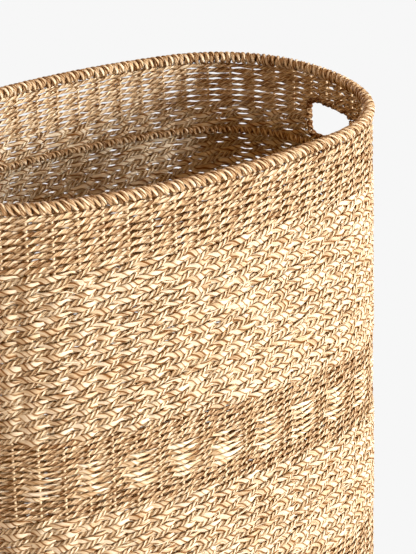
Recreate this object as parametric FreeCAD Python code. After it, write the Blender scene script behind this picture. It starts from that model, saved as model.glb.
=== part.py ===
"""Tall oval laundry basket, woven from seagrass over upright stakes on three wire hoops.

Millimetres, +Z up. The origin is the middle of the base, on the floor. X runs along the basket's
length and Y along its width. Every upright surface follows one plan oval, the line of the stakes.
"""
import FreeCAD, Part
import math
import os

from FreeCAD import Vector

os.makedirs("parts", exist_ok=True)

# ---- driving dimensions -------------------------------------------------------------------
HALF_LENGTH = 263.5        # plan oval, from the middle to the stakes at the two ends
HALF_WIDTH = 175.0         # plan oval, from the middle to the stakes at front and back
SIDE_TURN = 14.0           # degrees that the long side arc turns before the corner starts
CORNER_TURN = 74.0         # degrees turned where the corner arc meets the end arc
CORNER_RADIUS = 140.0

HEIGHT = 560.0
HOOP_WRAP_RADIUS = 6.5     # whipped rim and whipped foot hoop
HOOP_WIRE_RADIUS = 2.5
INNER_WRAP_RADIUS = 4.2    # slimmer whipped hoop inside the wall
INNER_WIRE_RADIUS = 1.75
INNER_HOOP_DROP = 80.0     # from the rim hoop's centre down to the inner hoop's centre
INNER_HOOP_OFFSET = -9.0   # inward from the plan oval

STAKE_COUNT = 58
STAKE_RADIUS = 1.3
WALL_HALF = 4.5            # half the thickness of the woven wall
GAP = 0.2                  # between neighbours that meet flat
CURVED_GAP = 0.3           # between neighbours that meet on a curve
SLEEVE_GAP = 0.1           # between a wire and the whipping round it

# lower edges of the woven bands, measured down from the rim hoop's centre
BAND_DROPS = [
    ("tan_top_band", 66.6),
    ("light_upper_band", 243.5),
    ("check_upper_rows", 269.2),
    ("check_block_rows", 307.7),
    ("check_lower_rows", 328.2),
    ("light_lower_band", 449.3),
]
BLOCK_STEP = 2             # one light block on every second stake
BLOCK_WIDTH = 27.0
BLOCK_DEPTH = 2.7          # how far a block reaches in from the wall's outer face

HANDLE_DROP = 52.9         # from the rim hoop's centre down to the middle of a hand hole
HANDLE_HALF_WIDTH = 36.0
HANDLE_HALF_HEIGHT = 16.8
HANDLE_CORNER = 8.0
HANDLE_BORDER = 8.0        # width of the whipped edge round a hand hole
HANDLE_BORDER_HALF = 4.8   # half its thickness through the wall
HOLE_STAKES = 2            # stakes each side of an end's middle that a hand hole cuts
CUT_REACH = 60.0           # how far a hand hole's cutter runs to each side of the wall

BASE_THICKNESS = 10.0
LONG_STAKE_HEIGHT = 3.0    # base stakes that run along X
CROSS_STAKE_HEIGHT = 7.0   # base stakes that run along Y, over the long ones
END_STAKES = 5             # stakes each side of an end's middle that carry on along X in the base

# ---- derived sizes ------------------------------------------------------------------------
RIM_Z = HEIGHT - HOOP_WRAP_RADIUS
FOOT_Z = HOOP_WRAP_RADIUS
INNER_HOOP_Z = RIM_Z - INNER_HOOP_DROP
WALL_TOP = RIM_Z - HOOP_WRAP_RADIUS - GAP
WALL_BOTTOM = FOOT_Z + HOOP_WRAP_RADIUS + GAP
HANDLE_Z = RIM_Z - HANDLE_DROP
BASE_OFFSET = -HOOP_WRAP_RADIUS - CURVED_GAP
CHANNEL_RADIUS = STAKE_RADIUS + GAP
UP = Vector(0, 0, 1)


def solve_plan():
    """Return the side and end radii that close the quarter oval on the two half sizes."""
    side = math.radians(SIDE_TURN)
    corner = math.radians(CORNER_TURN)
    run = HALF_LENGTH - CORNER_RADIUS * (math.sin(corner) - math.sin(side))
    rise = HALF_WIDTH - CORNER_RADIUS * (math.cos(side) - math.cos(corner))
    a, b = math.sin(side), 1 - math.sin(corner)
    c, d = 1 - math.cos(side), math.cos(corner)
    det = a * d - b * c
    return (run * d - b * rise) / det, (a * rise - c * run) / det


def plan_arcs():
    """The oval's eight arcs, counterclockwise: (centre x, centre y, radius, from, to) in degrees."""
    side_radius, end_radius = solve_plan()
    side = math.radians(SIDE_TURN)
    corner_x = (side_radius - CORNER_RADIUS) * math.sin(side)
    corner_y = HALF_WIDTH - side_radius + (side_radius - CORNER_RADIUS) * math.cos(side)
    end_x = HALF_LENGTH - end_radius
    side_y = HALF_WIDTH - side_radius
    end_half = 90 - CORNER_TURN
    start, stop = 90 - CORNER_TURN, 90 - SIDE_TURN
    return [
        (end_x, 0, end_radius, -end_half, end_half),
        (corner_x, corner_y, CORNER_RADIUS, start, stop),
        (0, side_y, side_radius, 90 - SIDE_TURN, 90 + SIDE_TURN),
        (-corner_x, corner_y, CORNER_RADIUS, 180 - stop, 180 - start),
        (-end_x, 0, end_radius, 180 - end_half, 180 + end_half),
        (-corner_x, -corner_y, CORNER_RADIUS, 180 + start, 180 + stop),
        (0, -side_y, side_radius, 270 - SIDE_TURN, 270 + SIDE_TURN),
        (corner_x, -corner_y, CORNER_RADIUS, 360 - stop, 360 - start),
    ]


ARCS = plan_arcs()


def arc_length(arc):
    return arc[2] * math.radians(arc[4] - arc[3])


PERIMETER = sum(arc_length(arc) for arc in ARCS)
PITCH = PERIMETER / STAKE_COUNT


def polar(arc, degrees, offset):
    """The point of an arc at an angle, moved outward by offset."""
    turn = math.radians(degrees)
    reach = arc[2] + offset
    return Vector(arc[0] + reach * math.cos(turn), arc[1] + reach * math.sin(turn), 0)


def plan_at(distance):
    """The point of the oval at a distance along it from the +X end, and its outward normal."""
    left = (distance + arc_length(ARCS[0]) / 2) % PERIMETER
    for arc in ARCS:
        if left <= arc_length(arc):
            break
        left -= arc_length(arc)
    degrees = arc[3] + math.degrees(left / arc[2])
    turn = math.radians(degrees)
    return polar(arc, degrees, 0), Vector(math.cos(turn), math.sin(turn), 0)


def outline(offset):
    edges = []
    for arc in ARCS:
        middle = (arc[3] + arc[4]) / 2
        points = [polar(arc, degrees, offset) for degrees in (arc[3], middle, arc[4])]
        edges.append(Part.Arc(*points).toShape())
    return Part.Wire(edges)


def prism(offset, bottom, top):
    """A solid with the plan oval's outline, moved outward by offset."""
    solid = Part.Face(outline(offset)).extrude(Vector(0, 0, top - bottom))
    solid.translate(Vector(0, 0, bottom))
    return solid


def wall_ring(inner, outer, bottom, top):
    return prism(outer, bottom, top).cut(prism(inner, bottom, top))


def hoop(offset, height, radius, hole=0.0):
    """A round bar that follows the oval, or a sleeve if it has a hole."""
    pieces = []
    for arc in ARCS:
        turn = math.radians(arc[3])
        centre = polar(arc, arc[3], offset) + Vector(0, 0, height)
        along = Vector(-math.sin(turn), math.cos(turn), 0)
        wires = [Part.Wire(Part.makeCircle(radius, centre, along))]
        if hole:
            wires.append(Part.Wire(Part.makeCircle(hole, centre, along)))
        section = Part.Face(wires, "Part::FaceMakerBullseye") if hole else Part.Face(wires)
        pieces.append(section.revolve(Vector(arc[0], arc[1], 0), UP, arc[4] - arc[3]))
    return pieces[0].multiFuse(pieces[1:]).removeSplitter()


def stake(index, bottom, top, radius=STAKE_RADIUS):
    point, _ = plan_at((index + 0.5) * PITCH)
    return Part.makeCylinder(radius, top - bottom, point + Vector(0, 0, bottom))


def handle_prism(side, grow):
    """The hand hole's rounded outline, grown by grow, run through the wall at one end."""
    width = HANDLE_HALF_WIDTH + grow
    height = HANDLE_HALF_HEIGHT + grow
    corner = HANDLE_CORNER + grow
    block = Part.makeBox(2 * CUT_REACH, 2 * width, 2 * height)
    upright_edges = [edge for edge in block.Edges if abs(edge.tangentAt(edge.FirstParameter).x) > 0.9]
    block = block.makeFillet(corner, upright_edges)
    block.translate(Vector(side * HALF_LENGTH - CUT_REACH, -width, HANDLE_Z - height))
    return block


def handle_border(side):
    """The whipped edge of a hand hole, curved with the wall, open for the stakes beside it."""
    skin = wall_ring(-HANDLE_BORDER_HALF, HANDLE_BORDER_HALF, HANDLE_Z - CUT_REACH, HANDLE_Z + CUT_REACH)
    border = skin.common(handle_prism(side, HANDLE_BORDER)).cut(handle_prism(side, 0))
    return border.cut(stake_channels())


def stake_channels():
    return Part.makeCompound([stake(i, 0, HEIGHT, CHANNEL_RADIUS) for i in range(STAKE_COUNT)])


def light_block(index, bottom, top):
    """One bleached block, flush with the wall's outer face, centred on a stake."""
    point, normal = plan_at((index + 0.5) * PITCH)
    box = Part.makeBox(2 * WALL_HALF, BLOCK_WIDTH, top - bottom, Vector(-WALL_HALF, -BLOCK_WIDTH / 2, 0))
    box.rotate(Vector(0, 0, 0), UP, math.degrees(math.atan2(normal.y, normal.x)))
    box.translate(point + normal * WALL_HALF + Vector(0, 0, bottom))
    return box.common(wall_ring(WALL_HALF - BLOCK_DEPTH, WALL_HALF, bottom, top))


def hoops():
    """The three wire hoops and the seagrass whipped round them."""
    sleeve = HOOP_WIRE_RADIUS + SLEEVE_GAP
    inner_sleeve = INNER_WIRE_RADIUS + SLEEVE_GAP
    return {
        "rim_wire": hoop(0, RIM_Z, HOOP_WIRE_RADIUS),
        "rim_wrap": hoop(0, RIM_Z, HOOP_WRAP_RADIUS, sleeve),
        "inner_hoop_wire": hoop(INNER_HOOP_OFFSET, INNER_HOOP_Z, INNER_WIRE_RADIUS),
        "inner_hoop_wrap": hoop(INNER_HOOP_OFFSET, INNER_HOOP_Z, INNER_WRAP_RADIUS, inner_sleeve),
        "foot_wire": hoop(0, FOOT_Z, HOOP_WIRE_RADIUS),
        "foot_wrap": hoop(0, FOOT_Z, HOOP_WRAP_RADIUS, sleeve),
    }


def bands():
    """The woven wall as stacked rings, with channels for the stakes and two hand holes."""
    hand_holes = [handle_prism(side, HANDLE_BORDER + CURVED_GAP) for side in (1, -1)]
    cutters = Part.makeCompound([stake_channels()] + hand_holes)
    shapes = {}
    top = WALL_TOP
    for name, drop in BAND_DROPS + [("tan_bottom_band", RIM_Z - WALL_BOTTOM)]:
        bottom = RIM_Z - drop
        ring = wall_ring(-WALL_HALF, WALL_HALF, bottom, top)
        if name == "check_block_rows":
            blocks = [light_block(i, bottom, top) for i in range(1, STAKE_COUNT, BLOCK_STEP)]
            shapes["check_light_blocks"] = Part.makeCompound(blocks)
            ring = ring.cut(shapes["check_light_blocks"])
        shapes[name] = ring.cut(cutters)
        top = bottom
    return shapes


def wall_stakes():
    """The upright stakes, by side. Four at each end stop at a hand hole and go on above it."""
    groups = {"stakes_right_end": [], "stakes_back": [], "stakes_left_end": [], "stakes_front": []}
    half = STAKE_COUNT // 2
    reach = HANDLE_HALF_HEIGHT + HANDLE_BORDER + CURVED_GAP
    top = WALL_TOP - GAP
    bottom = WALL_BOTTOM + GAP
    for index in range(STAKE_COUNT):
        from_end = min((index + 0.5) % half, half - (index + 0.5) % half)
        point, _ = plan_at((index + 0.5) * PITCH)
        if from_end < END_STAKES:
            name = "stakes_right_end" if point.x > 0 else "stakes_left_end"
        else:
            name = "stakes_back" if point.y > 0 else "stakes_front"
        if from_end < HOLE_STAKES:
            groups[name].append(stake(index, bottom, HANDLE_Z - reach))
            groups[name].append(stake(index, HANDLE_Z + reach, top))
        else:
            groups[name].append(stake(index, bottom, top))
    return {name: Part.makeCompound(solids) for name, solids in groups.items()}


def base_stake(index, radius, reach):
    """A base stake from one wall stake to the one opposite, along X at the ends, else along Y."""
    point, _ = plan_at((index + 0.5) * PITCH)
    if index < END_STAKES or index >= STAKE_COUNT - END_STAKES:
        half = abs(point.x) - reach
        return Part.makeCylinder(radius, 2 * half, Vector(-half, point.y, LONG_STAKE_HEIGHT), Vector(1, 0, 0))
    half = abs(point.y) - reach
    return Part.makeCylinder(radius, 2 * half, Vector(point.x, -half, CROSS_STAKE_HEIGHT), Vector(0, 1, 0))


def base():
    """The woven floor with the stakes that cross inside it."""
    half = STAKE_COUNT // 2
    long_ones = list(range(END_STAKES)) + list(range(STAKE_COUNT - END_STAKES, STAKE_COUNT))
    cross_ones = list(range(END_STAKES, half - END_STAKES))
    inset = -BASE_OFFSET + 4 * GAP
    channels = [base_stake(i, CHANNEL_RADIUS, 0) for i in long_ones + cross_ones]
    return {
        "base_stakes_long": Part.makeCompound([base_stake(i, STAKE_RADIUS, inset) for i in long_ones]),
        "base_stakes_cross": Part.makeCompound([base_stake(i, STAKE_RADIUS, inset) for i in cross_ones]),
        "base_weave": prism(BASE_OFFSET, 0, BASE_THICKNESS).cut(Part.makeCompound(channels)),
    }


nodes = {}
nodes.update(hoops())
nodes.update(bands())
nodes.update(wall_stakes())
nodes.update(base())
nodes["handle_wrap_right"] = handle_border(1)
nodes["handle_wrap_left"] = handle_border(-1)

for node, shape in nodes.items():
    assert shape.isValid() and shape.Solids, node
    shape.exportStep("parts/" + node + ".step")
    print(node, len(shape.Solids), "solids", round(shape.Volume / 1000, 1), "cm3")
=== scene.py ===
"""A tall oval laundry basket woven from seagrass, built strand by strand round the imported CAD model.

Every strand is worked out in wall coordinates and then bent round the basket's plan oval:
s runs along the oval, r points out of the wall, z points up. Metres throughout.
"""

import math
from collections import namedtuple

import bpy
import numpy as np
from mathutils import Matrix, Vector


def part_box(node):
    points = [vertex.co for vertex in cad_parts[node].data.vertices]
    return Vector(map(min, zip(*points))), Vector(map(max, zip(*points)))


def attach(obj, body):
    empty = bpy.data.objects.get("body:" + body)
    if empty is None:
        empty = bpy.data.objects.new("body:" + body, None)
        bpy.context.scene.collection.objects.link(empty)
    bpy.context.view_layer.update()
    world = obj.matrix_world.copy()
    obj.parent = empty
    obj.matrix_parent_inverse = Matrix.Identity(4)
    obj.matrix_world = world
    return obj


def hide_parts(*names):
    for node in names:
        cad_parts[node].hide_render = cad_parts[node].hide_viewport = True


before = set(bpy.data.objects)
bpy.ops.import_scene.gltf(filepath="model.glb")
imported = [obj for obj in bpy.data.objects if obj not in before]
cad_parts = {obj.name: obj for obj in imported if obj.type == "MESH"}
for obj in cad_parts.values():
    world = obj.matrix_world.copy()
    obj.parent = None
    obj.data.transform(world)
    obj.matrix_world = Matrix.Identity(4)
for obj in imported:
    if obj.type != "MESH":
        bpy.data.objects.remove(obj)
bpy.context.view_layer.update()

MM = 0.001
TURN = 2 * math.pi

# ---- the plan oval, as in the CAD model -----------------------------------------------------
SIDE_TURN = math.radians(14)
CORNER_TURN = math.radians(74)
CORNER_RADIUS = 140 * MM
STAKE_COUNT = 58

# ---- strands ----------------------------------------------------------------------------------
STAKE_RADIUS = 1.3 * MM
HOLE_CORNER = 8 * MM           # corner radius of a hand hole's clear opening
HOLE_BORDER = 8 * MM           # width of its whipped edge
HOLE_WRAP = 3.4 * MM           # half size of that edge in the wall's plane
HOLE_THROUGH = 4.3 * MM        # and through the wall
HOLE_STEP = 0.5 * MM
SHORTEST_SPAN = 20             # steps that a row's stretch beside a hole has to be longer than

PLY_SIDES = 6
PLY_STEP = 1.7 * MM            # distance between the sections of a twisted cord
CORD_PLIES = 2
CORD_SPREAD = 0.15             # how much a cord's size varies from stake to stake
LEAF_STEP = 2.0 * MM
LEAF_PLIES = 3
LEAF_SPREAD = 0.30
LEAF_FOLD = -0.5               # where a flat leaf starts to turn over, in stakes from a stitch's middle
LEAF_FOLD_WIDTH = 0.80         # how long the turn takes, in stakes
LEAF_FOLD_TURN = math.radians(270)
CROSSING_WANDER = 0.18         # how far a crossing strays along the row, in stakes
STRAND_WANDER = 0.3 * MM       # how far a strand strays up, down, in and out
TWIST_WANDER = 4               # how far its plies turn early or late, in radians for a spread of 1
CREST_POWER = 0.8              # how quickly a strand changes height between a stake and a crossing
TAPER_WIDTH = 0.30             # how far along a strand narrows where it goes in, in stakes
CREASE_SHADE_POWER = 3               # how sharply the painted crease shade darkens a ply toward its edges
STRAND_TONE_WANDER = 0.12      # how much the tone varies along a strand
SPREAD_TONE_WANDER = 0.7       # and how much more for a spread of 1
PLY_TONE_SPREAD = 0.08         # how much it differs from ply to ply
FIBRE_SPREAD = 50              # keeps the streaks of one strand apart from the next one's
FEWEST_RINGS = 4
SAME_LENGTH = 1e-6
PIECE_FACES = 190_000          # triangles that one piece may hold

# A twined strand: its half height over a stake and at a crossing, its half thickness, how far it
# climbs from behind one stake to behind the next, how much it narrows where it goes in behind a
# stake, and how dark the painted shade is in the creases between its plies. Then, as shares of the
# strand's own size, how far a ply lies from the strand's middle and the ply's half thickness and
# half width.
Strand = namedtuple("Strand", "crest crossing depth rise taper crease centre thin wide")
TAN_CORD = Strand(2.42 * MM, 2.75 * MM, 1.5 * MM, 0.9 * MM, 0.0, 0.75, 0.50, 0.54, 0.86)
LIGHT_CORD = Strand(3.0 * MM, 2.9 * MM, 1.8 * MM, 2.8 * MM, 0.15, 0.90, 0.52, 0.50, 0.86)
CHECK_CORD = Strand(2.05 * MM, 2.40 * MM, 1.3 * MM, 1.0 * MM, 0.0, 0.75, 0.50, 0.54, 0.86)
LEAF = Strand(3.6 * MM, 3.2 * MM, 1.8 * MM, 2.8 * MM, 0.42, 1.15, 0.48, 0.42, 0.98)
BLOCK_LEAF = Strand(2.6 * MM, 1.9 * MM, 1.4 * MM, 0.8 * MM, 0.4, 0.60, 0.44, 0.46, 0.98)
BASE_CORD = Strand(3.5 * MM, 3.4 * MM, 1.5 * MM, 1.2 * MM, 0.0, 0.60, 0.50, 0.54, 0.86)
TAN_TWIST = 18 * MM            # length of a full turn of a cord's plies
LIGHT_TWIST = 12 * MM
CHECK_TWIST = 15 * MM
# Where a strand lies on its material's ramp, before streaks and patches.
TAN_TONE = 0.72
CHECK_TONE = 0.64
LIGHT_TONE = 0.80
BLOCK_TONE = 0.62
BASE_TONE = 0.62
RIM_TONE = 0.76
INNER_HOOP_TONE = 0.72
HOLE_TONE = 0.35

# ---- rows -------------------------------------------------------------------------------------
TOP_ROWS = 8
UPPER_STRAW_ROWS = 26
CHECK_UPPER_ROWS = 4
CHECK_BLOCK_ROWS = 6
CHECK_LOWER_ROWS = 3
LOWER_STRAW_ROWS = 18
FOOT_ROWS = 12
BAND_SAG = 0.7 * MM            # how far a whole band's rows rise and fall together
BAND_SAG_KNOTS = 13
ROW_SAG = 0.3 * MM             # and each row on its own
ROW_SAG_KNOTS = 7
BACK_PACKING = 0.17            # how much closer the upper rows lie at the back than at the front
PACKED_DEPTH = 130 * MM        # down to here below the rim, then the rows ease back
END_BLEND = 0.30               # how gradually the packing changes round the two ends
COLUMN_SPREAD = 0.10           # how much the rows open or close from one stake to the next

# ---- loose ends of leaf on the straw bands ----------------------------------------------------
WISPS = 110                    # on each band
WISP_LENGTH = (14 * MM, 34 * MM)
WISP_WIDTH = (0.5 * MM, 1.3 * MM)
WISP_THICK = 0.35 * MM
WISP_OUT = 4.3 * MM            # from the wall's middle to where a wisp starts
WISP_LIFT = 1.2 * MM           # how much further out its end may stand
WISP_SLOPE = (-0.25, 0.55)
WISP_BOW = 2.5 * MM
WISP_MARGIN = 6 * MM           # kept clear at a band's two edges
WISP_TAPER = 0.75
WISP_TONE = 0.62
WISP_TONE_SPREAD = (-0.35, 0.30)
WISP_RINGS = 9
WISP_SIDES = 4

# ---- whipping ---------------------------------------------------------------------------------
RIM_WRAPS = 248                # round the foot hoop too
INNER_HOOP_WRAPS = 280
HOLE_WRAPS = 36
INNER_HOOP_OFFSET = -9 * MM    # from the wall's middle to the inner hoop's
WRAP_AROUND = 16               # sections in one turn round a bar
WRAP_TWISTS = 1.15             # turns of the plies in one turn round a bar
WRAP_SHAPE = (0.50, 0.56, 0.80)   # centre, thin and wide, as for a strand
# How dark the painted shade is in the creases between a winding's plies.
WRAP_CREASE_SHADE = 0.85
# How far along the bar a turn runs ahead halfway round, and a quarter and three quarters round, as
# shares of the distance between turns.
WRAP_SLANT = 0.42
WRAP_SLANT_SPREAD = 0.20
WRAP_SWAY = 0.16
WRAP_GIRTH_SPREAD = 0.20
WRAP_LIFT = 0.45 * MM          # how far a turn stands off the bar or sinks in
WRAP_TONE_SPREAD = 0.25
WRAP_TONE_BACK = 0.4           # the share of that spread at the place where a turn starts
HOOP_WRAP_THICK = 0.27         # as a share of the bar's radius
HOOP_WRAP_WIDE = 0.47          # as a share of the distance between turns
HOOP_SAG = 0.3 * MM
HOOP_SAG_KNOTS = 11
HOOP_SAG_SEED = 7
HOLE_WRAP_THICK = 1.3 * MM
HOLE_WRAP_WIDE = 0.45

# ---- base -------------------------------------------------------------------------------------
BASE_ROW = 7 * MM
BASE_INSET = -4.5 * MM         # from the wall's middle to where the floor's cords end
BASE_WANDER_KNOTS = 60
BASE_EDGE_POINTS = 800
FEWEST_EDGE_POINTS = 8         # a row with fewer inside the oval is left out

# ---- seagrass ---------------------------------------------------------------------------------
STREAK_SCALE = (40, 750, 3.7)  # along a strand, across it, and from strand to strand
STREAK_DETAIL = 3
STREAK_WEIGHT = 1.25
PATCH_SCALE = (55, 120, 5.1)
PATCH_DETAIL = 2
PATCH_WEIGHT = 0.55
TONE_SCALE = 0.62              # from tone, streaks and patches together to a place on the ramp
SHADOW_PLACE = 0.50
BODY_PLACE = 0.86
GLOW_PLACE = 1.0
BUMP_STRENGTH = 0.8
BUMP_DEPTH = 0.8 * MM
SEAGRASS_ROUGHNESS = 0.7
SEAGRASS_SPECULAR = 0.2

# ---- light ------------------------------------------------------------------------------------
FLOOR_SIZE = 60
BACKDROP_RADIUS = 25
BACKDROP_GLOW = 0.93
WORLD_COLOUR = (1.0, 0.49, 0.15)
WORLD_STRENGTH = 0.35
LAMP_COLOUR = (1.0, 0.98, 0.98)
# Each sun's name, the direction it shines from, its strength and its spread in degrees.
SUNS = [
    ("key", (0.64, -0.77, 0.215), 5.2, 17),
    ("fill", (-0.65, -0.75, 0.01), 1.7, 4),
    ("back", (0.12, 0.98, 0.08), 2.2, 10),
]

# ---- camera -----------------------------------------------------------------------------------
CAMERA_AZIMUTH = math.radians(32.93)
CAMERA_TILT = math.radians(22.60)
CAMERA_ROLL = math.radians(-1.55)
CAMERA_DISTANCE = 2.666
CAMERA_AIM = (0.0085, -0.1382, -0.1197)   # from the middle of the rim hoop
CAMERA_LENS = 174.66
SENSOR = 36.0
CAMERA_REACH = 100

SEED = 58
rng = np.random.default_rng(SEED)


def height_of(node):
    low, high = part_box(node)
    return low.z, high.z


rim_low, rim_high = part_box("rim_wrap")
RIM_Z = (rim_low.z + rim_high.z) / 2
WRAP_RADIUS = (rim_high.z - rim_low.z) / 2
HALF_LENGTH = rim_high.x - WRAP_RADIUS
HALF_WIDTH = rim_high.y - WRAP_RADIUS


class Plan:
    """The oval of eight arcs that every upright surface follows, by distance from its +X end."""

    def __init__(self):
        side_radius, end_radius = self.solve()
        corner_x = (side_radius - CORNER_RADIUS) * math.sin(SIDE_TURN)
        corner_y = HALF_WIDTH - side_radius + (side_radius - CORNER_RADIUS) * math.cos(SIDE_TURN)
        quarter = [
            (HALF_LENGTH - end_radius, 0, end_radius, 0, math.pi / 2 - CORNER_TURN),
            (corner_x, corner_y, CORNER_RADIUS, math.pi / 2 - CORNER_TURN, math.pi / 2 - SIDE_TURN),
            (0, HALF_WIDTH - side_radius, side_radius, math.pi / 2 - SIDE_TURN, math.pi / 2),
        ]
        arcs = list(quarter)
        arcs += [(-x, y, radius, math.pi - b, math.pi - a) for x, y, radius, a, b in reversed(quarter)]
        arcs += [(-x, -y, radius, a + math.pi, b + math.pi) for x, y, radius, a, b in arcs]
        self.arcs = np.array(arcs)
        lengths = self.arcs[:, 2] * (self.arcs[:, 4] - self.arcs[:, 3])
        self.starts = np.concatenate([[0], np.cumsum(lengths)])
        self.length = self.starts[-1]

    @staticmethod
    def solve():
        """The side and end radii that close the quarter oval on the two half sizes."""
        run = HALF_LENGTH - CORNER_RADIUS * (math.sin(CORNER_TURN) - math.sin(SIDE_TURN))
        rise = HALF_WIDTH - CORNER_RADIUS * (math.cos(SIDE_TURN) - math.cos(CORNER_TURN))
        matrix = [
            [math.sin(SIDE_TURN), 1 - math.sin(CORNER_TURN)],
            [1 - math.cos(SIDE_TURN), math.cos(CORNER_TURN)],
        ]
        return np.linalg.solve(matrix, [run, rise])

    def bend(self, s, r, z):
        """World points for wall coordinates of any shape."""
        s, r, z = np.broadcast_arrays(s, r, z)
        s = np.mod(s, self.length)
        index = np.clip(np.searchsorted(self.starts, s, side="right") - 1, 0, len(self.arcs) - 1)
        centre_x, centre_y, radius, start, _ = np.moveaxis(self.arcs[index], -1, 0)
        angle = start + (s - self.starts[index]) / radius
        reach = radius + r
        return np.stack([centre_x + reach * np.cos(angle), centre_y + reach * np.sin(angle), z], -1)


plan = Plan()
PITCH = plan.length / STAKE_COUNT


def drift(s, knots, size, seed):
    """A smooth random value along a closed loop, from evenly spaced knots."""
    values = np.random.default_rng(seed).uniform(-size, size, knots)
    place = np.mod(s / plan.length, 1) * knots
    low = np.floor(place).astype(int) % knots
    blend = place - np.floor(place)
    blend = blend * blend * (3 - 2 * blend)
    return values[low] * (1 - blend) + values[(low + 1) % knots] * blend


# ---- meshes -------------------------------------------------------------------------------------
class Bundle:
    """Strands that become one or more named pieces, none over the face limit."""

    def __init__(self, name, slot, material, replaced=()):
        self.name, self.slot, self.material, self.replaced = name, slot, material, replaced
        self.strands = []

    def add(self, points, closed, along, across, tone):
        """points is (rings, sides, 3), along (rings,), across (sides,) and tone (rings, sides)."""
        rings, sides, _ = points.shape
        fibre = np.empty((rings, sides, 3), np.float32)
        fibre[..., 0] = along[:, None]
        fibre[..., 1] = across[None, :]
        fibre[..., 2] = rng.uniform(0, FIBRE_SPREAD)
        faces = strand_faces(rings, sides, closed)
        self.strands.append((points.reshape(-1, 3), faces, fibre.reshape(-1, 3), tone.reshape(-1)))

    def build(self):
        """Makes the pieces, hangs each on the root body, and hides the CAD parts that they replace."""
        groups = [[]]
        size = 0
        for strand in self.strands:
            faces = sum(len(f) * (f.shape[1] - 2) for f in strand[1])
            if size + faces > PIECE_FACES:
                groups.append([])
                size = 0
            groups[-1].append(strand)
            size += faces
        pieces = []
        for number, group in enumerate(groups, 1):
            name = self.name if len(groups) == 1 else f"{self.name}_{number}"
            pieces.append(make_piece(name, group, self.material))
            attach(pieces[-1], "root")
        if self.replaced:
            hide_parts(*self.replaced)


def strand_faces(rings, sides, closed):
    """The side faces of a tube, and a cap at each end if it's open."""
    here = sides * np.arange(rings if closed else rings - 1)[:, None]
    after = (here + sides) % (rings * sides)
    side = np.arange(sides)[None, :]
    turn = (side + 1) % sides
    quads = np.stack([here + side, here + turn, after + turn, after + side], -1)
    faces = [quads.reshape(-1, 4)]
    if not closed:
        faces.append(np.arange(sides)[None, ::-1])
        faces.append((rings - 1) * sides + np.arange(sides)[None, :])
    return faces


def make_piece(name, strands, material):
    """One smooth mesh object with the fibre and tone attributes; tone also carries the painted crease shade.
    """
    verts = np.concatenate([s[0] for s in strands])
    firsts = np.concatenate([[0], np.cumsum([len(s[0]) for s in strands])])
    faces = [f + first for s, first in zip(strands, firsts) for f in s[1]]
    loops = np.concatenate([f.reshape(-1) for f in faces])
    totals = np.concatenate([np.full(len(f), f.shape[1]) for f in faces])
    starts = np.concatenate([[0], np.cumsum(totals)[:-1]])
    mesh = bpy.data.meshes.new(name)
    mesh.vertices.add(len(verts))
    mesh.vertices.foreach_set("co", verts.reshape(-1))
    mesh.loops.add(len(loops))
    mesh.loops.foreach_set("vertex_index", loops.astype(np.int32))
    mesh.polygons.add(len(totals))
    mesh.polygons.foreach_set("loop_start", starts.astype(np.int32))
    mesh.polygons.foreach_set("loop_total", totals.astype(np.int32))
    mesh.update(calc_edges=True)
    mesh.polygons.foreach_set("use_smooth", np.ones(len(totals), bool))
    fibre = mesh.attributes.new("fibre", "FLOAT_VECTOR", "POINT")
    fibre.data.foreach_set("vector", np.concatenate([s[2] for s in strands]).reshape(-1))
    tone = mesh.attributes.new("tone", "FLOAT", "POINT")
    tone.data.foreach_set("value", np.concatenate([s[3] for s in strands]))
    mesh.materials.append(material)
    piece = bpy.data.objects.new(name, mesh)
    bpy.context.scene.collection.objects.link(piece)
    return piece


# ---- materials ----------------------------------------------------------------------------------
def node(tree, kind, **values):
    made = tree.nodes.new(kind)
    for key, value in values.items():
        setattr(made, key, value)
    return made


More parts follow.
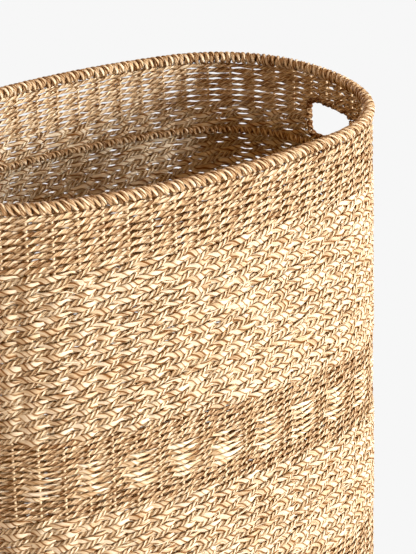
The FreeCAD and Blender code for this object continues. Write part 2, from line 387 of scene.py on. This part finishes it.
def seagrass(name, shadow, body, glow):
    """Dry leaf: streaks along the fibre, tone by strand with painted shade in its creases, and a fine ridged
    bump.
    """
    material = bpy.data.materials.new(name)
    material.use_nodes = True
    tree = material.node_tree
    link = tree.links.new
    shader = tree.nodes["Principled BSDF"]
    fibre = node(tree, "ShaderNodeAttribute", attribute_name="fibre")
    tone = node(tree, "ShaderNodeAttribute", attribute_name="tone")

    def noise(scale, detail):
        scaled = node(tree, "ShaderNodeVectorMath", operation="MULTIPLY")
        link(fibre.outputs["Vector"], scaled.inputs[0])
        scaled.inputs[1].default_value = scale
        made = node(tree, "ShaderNodeTexNoise")
        made.inputs["Scale"].default_value = 1
        made.inputs["Detail"].default_value = detail
        link(scaled.outputs[0], made.inputs["Vector"])
        return made.outputs["Fac"]

    streak = noise(STREAK_SCALE, STREAK_DETAIL)
    patch = noise(PATCH_SCALE, PATCH_DETAIL)
    mixed = node(tree, "ShaderNodeMath", operation="MULTIPLY_ADD")
    link(streak, mixed.inputs[0])
    mixed.inputs[1].default_value = STREAK_WEIGHT
    link(tone.outputs["Fac"], mixed.inputs[2])
    total = node(tree, "ShaderNodeMath", operation="MULTIPLY_ADD")
    link(patch, total.inputs[0])
    total.inputs[1].default_value = PATCH_WEIGHT
    link(mixed.outputs[0], total.inputs[2])
    # The ramp's shadow colour also paints the shade in the creases between plies, as a saturated brown.
    ramp = node(tree, "ShaderNodeValToRGB")
    ramp.color_ramp.elements[0].position = SHADOW_PLACE
    ramp.color_ramp.elements[0].color = (*shadow, 1)
    ramp.color_ramp.elements[1].position = GLOW_PLACE
    ramp.color_ramp.elements[1].color = (*glow, 1)
    middle = ramp.color_ramp.elements.new(BODY_PLACE)
    middle.color = (*body, 1)
    place = node(tree, "ShaderNodeMath", operation="MULTIPLY")
    place.inputs[1].default_value = TONE_SCALE
    link(total.outputs[0], place.inputs[0])
    link(place.outputs[0], ramp.inputs["Fac"])
    link(ramp.outputs["Color"], shader.inputs["Base Color"])
    bump = node(tree, "ShaderNodeBump")
    bump.inputs["Strength"].default_value = BUMP_STRENGTH
    bump.inputs["Distance"].default_value = BUMP_DEPTH
    link(streak, bump.inputs["Height"])
    link(bump.outputs["Normal"], shader.inputs["Normal"])
    shader.inputs["Roughness"].default_value = SEAGRASS_ROUGHNESS
    shader.inputs["Specular IOR Level"].default_value = SEAGRASS_SPECULAR
    return material


def plain(name, colour, rough, metallic=0.0):
    material = bpy.data.materials.new(name)
    material.use_nodes = True
    shader = material.node_tree.nodes["Principled BSDF"]
    shader.inputs["Base Color"].default_value = (*colour, 1)
    shader.inputs["Roughness"].default_value = rough
    shader.inputs["Metallic"].default_value = metallic
    return material


def plain_materials():
    """Cane for the stakes and dark wire for the hoops, on the CAD pieces that stay."""
    cane = plain("stake_cane", (0.86, 0.70, 0.46), 0.5)
    wire = plain("hoop_wire", (0.03, 0.027, 0.024), 0.45, 0.6)
    for name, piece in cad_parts.items():
        if name.endswith("_wire"):
            material = wire
        elif "stakes" in name:
            material = cane
        else:
            continue
        for place in piece.material_slots:
            place.material = material


# ---- the two kinds of weft strand ---------------------------------------------------------------
def section(turn, centre, thin, wide):
    """A ply's outline, thin along the line to the strand's middle and wide across it.

    Gives how far out and how far up each point lies, and how far across the ply it is.
    """
    corner = TURN * (np.arange(PLY_SIDES) + 0.5) / PLY_SIDES
    a, b = centre + thin * np.cos(corner), wide * np.sin(corner)
    cos, sin = np.cos(turn)[:, None], np.sin(turn)[:, None]
    return cos * a - sin * b, sin * a + cos * b, b


def samples(span, step):
    """Distances along a span, and whether it runs all the way round."""
    start, stop = span
    count = max(FEWEST_RINGS, int(round((stop - start) / step)))
    closed = abs(stop - start - plan.length) < SAME_LENGTH
    return np.linspace(start, stop, count, endpoint=not closed), closed


def lay(bundle, row, first, span, tone, turn, plies, strand, bend, step, spread):
    """One strand of a twined row.

    first says which stakes the strand passes outside, turn gives the angle of the plies, and spread
    says how uneven the strand is.
    """
    s, closed = samples(span, step)
    seed = rng.integers(1 << 30)
    u = s / PITCH - 0.5 - first + drift(s, STAKE_COUNT, CROSSING_WANDER, row.seed)
    over = np.cos(math.pi * u)
    z = row.line(s) + strand.rise * np.sin(math.pi * u) + drift(s, STAKE_COUNT, STRAND_WANDER, seed)
    r = (STAKE_RADIUS + strand.depth) * over + drift(s, 2 * STAKE_COUNT, STRAND_WANDER, seed + 1)
    tall = strand.crossing + (strand.crest - strand.crossing) * np.abs(over) ** CREST_POWER
    past = np.mod(u + 0.5, 2) - 1
    tall = tall * (1 - strand.taper * np.exp(-(past / TAPER_WIDTH) ** 2))
    tall = tall * (1 + drift(s, STAKE_COUNT, spread, seed + 2)) * row.squeeze(s)
    phase = turn(s, u) + drift(s, STAKE_COUNT, TWIST_WANDER * spread, seed + 3)
    tone_wander = STRAND_TONE_WANDER + SPREAD_TONE_WANDER * spread
    for ply in range(plies):
        out, up, across = section(phase + TURN * ply / plies, strand.centre, strand.thin, strand.wide)
        points = bend(s[:, None], r[:, None] + strand.depth * out, z[:, None] + tall[:, None] * up)
        tones = tone + drift(s, 2 * STAKE_COUNT, tone_wander, seed + 4 + ply)
        tones = tones + rng.uniform(-PLY_TONE_SPREAD, PLY_TONE_SPREAD)
        # Painted shade: every ply darkens toward its edges, where it meets the next ply in a crease.
        tones = tones[:, None] - strand.crease * np.abs(across / strand.wide) ** CREASE_SHADE_POWER
        bundle.add(points, closed, s, strand.crest * (across + 2 * ply), tones)


def twisted_cord(bundle, row, first, span, tone, twist, strand, bend=plan.bend):
    """Two plies laid right-handed."""
    turns = round(plan.length / twist)
    start = rng.uniform(0, TURN)

    def turn(s, u):
        return start + TURN * turns * s / plan.length

    lay(bundle, row, first, span, tone, turn, CORD_PLIES, strand, bend, PLY_STEP, CORD_SPREAD)


def flat_leaf(bundle, row, first, span, tone, strand, bend=plan.bend):
    """Wide flat plies laid left-handed, which fold over at the start of every stitch."""
    def turn(s, u):
        steps = np.floor(u - LEAF_FOLD)
        share = np.clip((u - LEAF_FOLD - steps) / LEAF_FOLD_WIDTH, 0, 1)
        return -LEAF_FOLD_TURN * (steps + share * share * (3 - 2 * share))

    lay(bundle, row, first, span, tone, turn, LEAF_PLIES, strand, bend, LEAF_STEP, LEAF_SPREAD)


# ---- rows -----------------------------------------------------------------------------------------
hole_low, hole_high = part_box("handle_wrap_right")
HOLE_Z = (hole_low.z + hole_high.z) / 2
HOLE_HALF_WIDTH = (hole_high.y - hole_low.y) / 2 - HOLE_BORDER
HOLE_HALF_HEIGHT = (hole_high.z - hole_low.z) / 2 - HOLE_BORDER
CHECK_TOP = height_of("check_upper_rows")[1]


def in_hole(s, z):
    """Whether points of the wall lie inside the middle line of a hand hole's whipped edge."""
    half = plan.length / 2
    across = np.abs(np.mod(s + half / 2, half) - half / 2)
    grow = HOLE_BORDER / 2
    corner = HOLE_CORNER + grow
    x = np.maximum(across - (HOLE_HALF_WIDTH + grow - corner), 0)
    y = np.maximum(np.abs(z - HOLE_Z) - (HOLE_HALF_HEIGHT + grow - corner), 0)
    return np.hypot(x, y) < corner


def spans(row):
    """The stretches of the oval that a row runs along: all of it, or what the hand holes leave."""
    s = np.arange(0, plan.length, HOLE_STEP)
    shut = in_hole(s, row.line(s))
    if not shut.any():
        return [(0.0, plan.length)]
    first = int(np.argmax(shut))
    open_wall = np.append(~np.roll(shut, -first), False)
    edges = np.flatnonzero(np.diff(open_wall.astype(int)))
    return [
        (s[first] + (a + 1) * HOLE_STEP, s[first] + b * HOLE_STEP)
        for a, b in zip(edges[::2], edges[1::2])
        if b - a > SHORTEST_SPAN
    ]


def back(s):
    """1 along the back of the basket, 0 along the front, with a smooth change at the ends."""
    half = plan.length / 2
    share = 0.5 + 0.5 * np.sin(math.pi * s / half) / END_BLEND
    share = np.clip(share, 0, 1)
    return share * share * (3 - 2 * share)


# A row of weaving: its height and how much its strands are flattened, both by distance along the
# oval, and the seed of its crossings.
Row = namedtuple("Row", "line squeeze seed")


def make_row(z, band_seed):
    """A row with the slow sag of hand work, packed tighter at the back. z seeds what is its own."""
    drop = RIM_Z - z
    turning = RIM_Z - CHECK_TOP
    packed = BACK_PACKING * min(drop, (turning - drop) * PACKED_DEPTH / (turning - PACKED_DEPTH))
    lift = max(packed, 0)
    squeezed = BACK_PACKING if drop < PACKED_DEPTH else 0

    def line(s):
        sag = drift(s, BAND_SAG_KNOTS, BAND_SAG, band_seed)
        return z + sag + drift(s, ROW_SAG_KNOTS, ROW_SAG, int(z * 10000)) + lift * back(s)

    def squeeze(s):
        return 1 - squeezed * back(s) + drift(s, STAKE_COUNT, COLUMN_SPREAD, band_seed + 1)

    return Row(line, squeeze, int(z * 100000))


def weave_rows(top, bottom, count, paint):
    """Calls paint(row number, row, span, first stake) for both strands of every row."""
    step = (top - bottom) / count
    seed = int(round(top * 1000))
    for number in range(count):
        row = make_row(top - (number + 0.5) * step, seed)
        for span in spans(row):
            for first in (0, 1):
                paint(number, row, span, first)


def tan_band(node_name, rows, name, twist, strand, tone=TAN_TONE):
    bottom, top = height_of(node_name)
    cord = Bundle(name, "seagrass_tan", TAN, [node_name])

    def paint(number, row, span, first):
        twisted_cord(cord, row, first, span, tone, twist, strand)

    weave_rows(top, bottom, rows, paint)
    cord.build()


def light_band(node_name, rows, name):
    """Every row twines a flat leaf with a cord, and the two change places from row to row."""
    bottom, top = height_of(node_name)
    leaf = Bundle(name + "_leaf", "seagrass_light", PALE, [node_name])
    cord = Bundle(name + "_cord", "seagrass_light", STRAW)

    def paint(number, row, span, first):
        if (number + first) % 2 == 0:
            flat_leaf(leaf, row, first, span, LIGHT_TONE, LEAF)
        else:
            twisted_cord(cord, row, first, span, LIGHT_TONE, LIGHT_TWIST, LIGHT_CORD)

    weave_rows(top, bottom, rows, paint)
    loose_wisps(leaf, top, bottom)
    leaf.build()
    cord.build()


def loose_wisps(bundle, top, bottom):
    """Thin ends of leaf that lie loose on the outside of a band."""
    share = np.linspace(0, 1, WISP_RINGS)[:, None]
    taper = 1 - WISP_TAPER * share ** 2
    corner = TURN * (np.arange(WISP_SIDES) + 0.5) / WISP_SIDES
    for _ in range(WISPS):
        length = rng.uniform(*WISP_LENGTH)
        width = rng.uniform(*WISP_WIDTH)
        start = rng.uniform(0, plan.length)
        height = rng.uniform(bottom + WISP_MARGIN, top - WISP_MARGIN)
        slope = rng.uniform(*WISP_SLOPE)
        bow = rng.uniform(-WISP_BOW, WISP_BOW)
        s = start + length * share
        z = height + slope * length * share + bow * 4 * share * (1 - share)
        r = WISP_OUT + rng.uniform(0, WISP_LIFT) * share
        points = plan.bend(s, r + WISP_THICK * np.cos(corner), z + width * taper * np.sin(corner))
        tones = np.full((WISP_RINGS, WISP_SIDES), WISP_TONE) + rng.uniform(*WISP_TONE_SPREAD)
        bundle.add(points, False, s[:, 0], width * np.sin(corner), tones)


def check_band():
    """Tan rows round a middle part where every second stake shows a bleached leaf."""
    look = (CHECK_TWIST, CHECK_CORD, CHECK_TONE)
    tan_band("check_upper_rows", CHECK_UPPER_ROWS, "check_upper_cord", *look)
    tan_band("check_lower_rows", CHECK_LOWER_ROWS, "check_lower_cord", *look)
    bottom, top = height_of("check_block_rows")
    leaf = Bundle("check_block_leaf", "seagrass_bleached", BLEACHED, ["check_light_blocks"])
    cord = Bundle("check_block_cord", "seagrass_tan", TAN, ["check_block_rows"])

    def paint(number, row, span, first):
        if first:
            flat_leaf(leaf, row, first, span, BLOCK_TONE, BLOCK_LEAF)
        else:
            twisted_cord(cord, row, first, span, CHECK_TONE, CHECK_TWIST, CHECK_CORD)

    weave_rows(top, bottom, CHECK_BLOCK_ROWS, paint)
    leaf.build()
    cord.build()


# ---- whipping -------------------------------------------------------------------------------------
def wind(bundle, frame_at, length, wraps, half, thick, wide, tone):
    """A two-ply strand wound round a bar that closes on itself.

    frame_at gives the bar's middle, its direction and its two cross directions at a distance along
    it. half holds the bar's half sizes in those two directions, outside the winding.
    """
    count = wraps * WRAP_AROUND
    t = np.arange(count) / WRAP_AROUND
    step = length / wraps
    pick = np.floor(t).astype(int)
    nudges = np.random.default_rng(rng.integers(1 << 30))
    slants, girths, lifts, shades = nudges.uniform(-1, 1, (4, wraps))
    ease = 0.5 - 0.5 * np.cos(TURN * t)
    turn = TURN * t
    slant = WRAP_SLANT + WRAP_SLANT_SPREAD * slants[pick]
    place = (t + slant * ease + WRAP_SWAY * np.sin(turn)) * step
    middle, along_bar, first, second = frame_at(place)
    girth = 1 + WRAP_GIRTH_SPREAD * girths[pick] * ease
    lift = WRAP_LIFT * lifts[pick] * ease
    shade = WRAP_TONE_SPREAD * shades[pick] * (WRAP_TONE_BACK + (1 - WRAP_TONE_BACK) * ease)
    start = rng.uniform(0, TURN)
    phase = start + TURN * round(wraps * WRAP_TWISTS) * t / wraps
    cos, sin = np.cos(turn)[:, None, None], np.sin(turn)[:, None, None]
    for ply in range(2):
        out, along, across = section(phase + math.pi * ply, *WRAP_SHAPE)
        out = (lift[:, None] + thick * girth[:, None] * (out - 1))[:, :, None]
        along = (wide * girth[:, None] * along)[:, :, None]
        points = middle[:, None, :] + along_bar[:, None, :] * along
        points = points + first[:, None, :] * cos * (half[0] + out)
        points = points + second[:, None, :] * sin * (half[1] + out)
        bent = plan.bend(points[..., 0], points[..., 1], points[..., 2])
        # Painted shade in the creases: each ply of the winding darkens toward its edges.
        tones = (tone + shade)[:, None] - WRAP_CREASE_SHADE * np.abs(across / WRAP_SHAPE[2]) ** CREASE_SHADE_POWER
        bundle.add(bent, True, t * TURN * half[0], wide * (across + 2 * ply), tones)


def hoop_whipping(node_name, name, offset, wraps, tone):
    """The winding round a hoop that lies offset from the wall's middle."""
    low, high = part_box(node_name)
    radius = (high.z - low.z) / 2
    height = (high.z + low.z) / 2
    bundle = Bundle(name, "seagrass_wrap", WRAP, [node_name])

    def frame_at(place):
        level = height + drift(place, HOOP_SAG_KNOTS, HOOP_SAG, HOOP_SAG_SEED)
        middle = np.stack([place, np.full_like(place, offset), level], -1)
        ones = np.ones((len(place), 1))
        return middle, ones * (1, 0, 0), ones * (0, 0, 1), ones * (0, 1, 0)

    wide = HOOP_WRAP_WIDE * plan.length / wraps
    wind(bundle, frame_at, plan.length, wraps, (radius, radius), HOOP_WRAP_THICK * radius, wide, tone)
    bundle.build()


def hole_whipping(node_name, name, centre, wraps):
    """The winding round a hand hole's edge, on the rounded outline down the middle of that edge."""
    bundle = Bundle(name, "seagrass_wrap", WRAP, [node_name])
    grow = HOLE_BORDER / 2
    corner = HOLE_CORNER + grow
    flat = HOLE_HALF_WIDTH + grow - corner
    upright = HOLE_HALF_HEIGHT + grow - corner
    quarter = corner * math.pi / 2
    length = 4 * (flat + upright + quarter)
    ends = np.cumsum([upright, quarter, 2 * flat, quarter, 2 * upright, quarter, 2 * flat, quarter, upright])
    starts = np.concatenate([[0], ends[:-1]])
    turned = np.array([0, 1, 1, 2, 2, 3, 3, 4, 4]) * math.pi / 2
    begun = np.array([0, 0, 1, 1, 2, 2, 3, 3, 4]) * math.pi / 2
    sign_x = np.array([1, 1, 0, -1, -1, -1, 0, 1, 1])
    sign_z = np.array([0, 1, 1, 1, 0, -1, -1, -1, 0])

    def frame_at(place):
        place = np.mod(place, length)
        part = np.clip(np.searchsorted(ends, place, side="right"), 0, 8)
        run = place - starts[part]
        whole = ends[part] - starts[part]
        angle = begun[part] + (turned[part] - begun[part]) * run / whole
        normal = np.stack([np.cos(angle), 0 * angle, np.sin(angle)], -1)
        tangent = np.stack([-np.sin(angle), 0 * angle, np.cos(angle)], -1)
        slide = np.select(
            [part == 0, part == 2, part == 4, part == 6, part == 8],
            [run, flat - run, upright - run, run - flat, run - upright], 0,
        )
        x = np.where(sign_x[part] != 0, sign_x[part] * flat, slide)
        z = np.where(sign_z[part] != 0, sign_z[part] * upright, slide)
        middle = np.stack([centre + x, 0 * x, HOLE_Z + z], -1) + corner * normal
        through = np.zeros_like(normal)
        through[:, 1] = 1
        return middle, tangent, normal, through

    wide = HOLE_WRAP_WIDE * length / wraps
    wind(bundle, frame_at, length, wraps, (HOLE_WRAP, HOLE_THROUGH), HOLE_WRAP_THICK, wide, HOLE_TONE)
    bundle.build()


# ---- base ------------------------------------------------------------------------------------------
def base_weave():
    """Cords twined along the basket's length over the base stakes that cross it."""
    low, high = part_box("base_weave")
    cross_low, cross_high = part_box("base_stakes_cross")
    height = (cross_low.z + cross_high.z) / 2
    bundle = Bundle("base_cord", "seagrass_tan", TAN, ["base_weave"])
    rows = int(round((high.y - low.y) / BASE_ROW))
    middle = plan.length / 2
    edge = plan.bend(np.linspace(0, middle, BASE_EDGE_POINTS), BASE_INSET, 0.0)

    def bend(s, r, z):
        """Lays a row flat: s along X from the middle, z along Y, r up."""
        return np.stack(np.broadcast_arrays(s - middle, z, height + r), -1)

    for number in range(rows):
        y = low.y + (number + 0.5) * (high.y - low.y) / rows
        inside = edge[edge[:, 1] > abs(y)]
        if len(inside) < FEWEST_EDGE_POINTS:
            continue
        reach = inside[:, 0].max()
        span = (middle - reach, middle + reach)
        row = Row(lambda s: y + drift(s, BASE_WANDER_KNOTS, STRAND_WANDER, number), np.ones_like, number)
        for first in (0, 1):
            twisted_cord(bundle, row, first, span, BASE_TONE, TAN_TWIST, BASE_CORD, bend)
    bundle.build()


# ---- floor, light and camera ------------------------------------------------------------------------
def studio():
    """A white floor and backdrop that light nothing, a warm world and the suns."""
    material = bpy.data.materials.new("studio_floor")
    material.use_nodes = True
    tree = material.node_tree
    tree.nodes.remove(tree.nodes["Principled BSDF"])
    glow = node(tree, "ShaderNodeEmission")
    glow.inputs["Color"].default_value = (1, 1, 1, 1)
    glow.inputs["Strength"].default_value = BACKDROP_GLOW
    link = tree.links.new
    link(glow.outputs[0], tree.nodes["Material Output"].inputs["Surface"])
    bpy.ops.mesh.primitive_plane_add(size=FLOOR_SIZE, location=(0, 0, 0))
    floor = bpy.context.object
    floor.name = "studio_floor"
    bpy.ops.mesh.primitive_uv_sphere_add(radius=BACKDROP_RADIUS, location=(0, 0, 0))
    backdrop = bpy.context.object
    backdrop.name = "studio_backdrop"
    backdrop.visible_shadow = False
    for surface in (floor, backdrop):
        surface.data.materials.append(material)
        surface.visible_diffuse = False
        surface.visible_glossy = False

    world = bpy.data.worlds.new("studio")
    bpy.context.scene.world = world
    world.use_nodes = True
    background = world.node_tree.nodes["Background"]
    background.inputs["Color"].default_value = (*WORLD_COLOUR, 1)
    background.inputs["Strength"].default_value = WORLD_STRENGTH
    for name, toward, strength, spread in SUNS:
        sun(name, toward, strength, spread)


def sun(name, toward, strength, spread):
    """A sun lamp in the direction toward, with its spread in degrees."""
    data = bpy.data.lights.new(name, "SUN")
    data.energy = strength
    data.color = LAMP_COLOUR
    data.angle = math.radians(spread)
    lamp = bpy.data.objects.new(name, data)
    bpy.context.scene.collection.objects.link(lamp)
    lamp.rotation_mode = "QUATERNION"
    lamp.rotation_quaternion = Vector(toward).to_track_quat("Z", "Y")


def camera():
    forward = Vector((
        math.sin(CAMERA_AZIMUTH) * math.cos(CAMERA_TILT),
        math.cos(CAMERA_AZIMUTH) * math.cos(CAMERA_TILT),
        -math.sin(CAMERA_TILT),
    ))
    right = Vector((math.cos(CAMERA_AZIMUTH), -math.sin(CAMERA_AZIMUTH), 0))
    up = right.cross(forward)
    x_axis = right * math.cos(CAMERA_ROLL) + up * math.sin(CAMERA_ROLL)
    y_axis = up * math.cos(CAMERA_ROLL) - right * math.sin(CAMERA_ROLL)
    data = bpy.data.cameras.new("camera")
    data.lens = CAMERA_LENS
    data.sensor_width = SENSOR
    data.clip_end = CAMERA_REACH
    made = bpy.data.objects.new("camera", data)
    bpy.context.scene.collection.objects.link(made)
    made.rotation_mode = "QUATERNION"
    made.rotation_quaternion = Matrix((x_axis, y_axis, -forward)).transposed().to_quaternion()
    made.location = Vector(CAMERA_AIM) + Vector((0, 0, RIM_Z)) - forward * CAMERA_DISTANCE
    bpy.context.scene.camera = made


camera()
studio()
TAN = seagrass(
    "seagrass_tan", shadow=(0.19, 0.07, 0.012), body=(0.72, 0.54, 0.315), glow=(0.88, 0.76, 0.55),
)
STRAW = seagrass(
    "seagrass_straw", shadow=(0.21, 0.085, 0.016), body=(0.75, 0.585, 0.355), glow=(0.88, 0.78, 0.58),
)
PALE = seagrass(
    "seagrass_pale", shadow=(0.23, 0.095, 0.02), body=(0.76, 0.605, 0.38), glow=(0.88, 0.79, 0.60),
)
BLEACHED = seagrass(
    "seagrass_bleached", shadow=(0.32, 0.16, 0.045), body=(0.80, 0.655, 0.42), glow=(0.93, 0.86, 0.69),
)
WRAP = seagrass(
    "seagrass_wrap", shadow=(0.15, 0.055, 0.01), body=(0.67, 0.48, 0.265), glow=(0.90, 0.77, 0.56),
)

tan_band("tan_top_band", TOP_ROWS, "tan_top_cord", TAN_TWIST, TAN_CORD)
light_band("light_upper_band", UPPER_STRAW_ROWS, "light_upper")
check_band()
light_band("light_lower_band", LOWER_STRAW_ROWS, "light_lower")
tan_band("tan_bottom_band", FOOT_ROWS, "tan_bottom_cord", TAN_TWIST, TAN_CORD)
hoop_whipping("rim_wrap", "rim_whipping", 0, RIM_WRAPS, RIM_TONE)
hoop_whipping(
    "inner_hoop_wrap", "inner_hoop_whipping", INNER_HOOP_OFFSET, INNER_HOOP_WRAPS, INNER_HOOP_TONE,
)
hoop_whipping("foot_wrap", "foot_whipping", 0, RIM_WRAPS, RIM_TONE)
hole_whipping("handle_wrap_right", "handle_whipping_right", 0, HOLE_WRAPS)
hole_whipping("handle_wrap_left", "handle_whipping_left", plan.length / 2, HOLE_WRAPS)
base_weave()
plain_materials()

scene = bpy.context.scene
scene.view_settings.view_transform = "Standard"
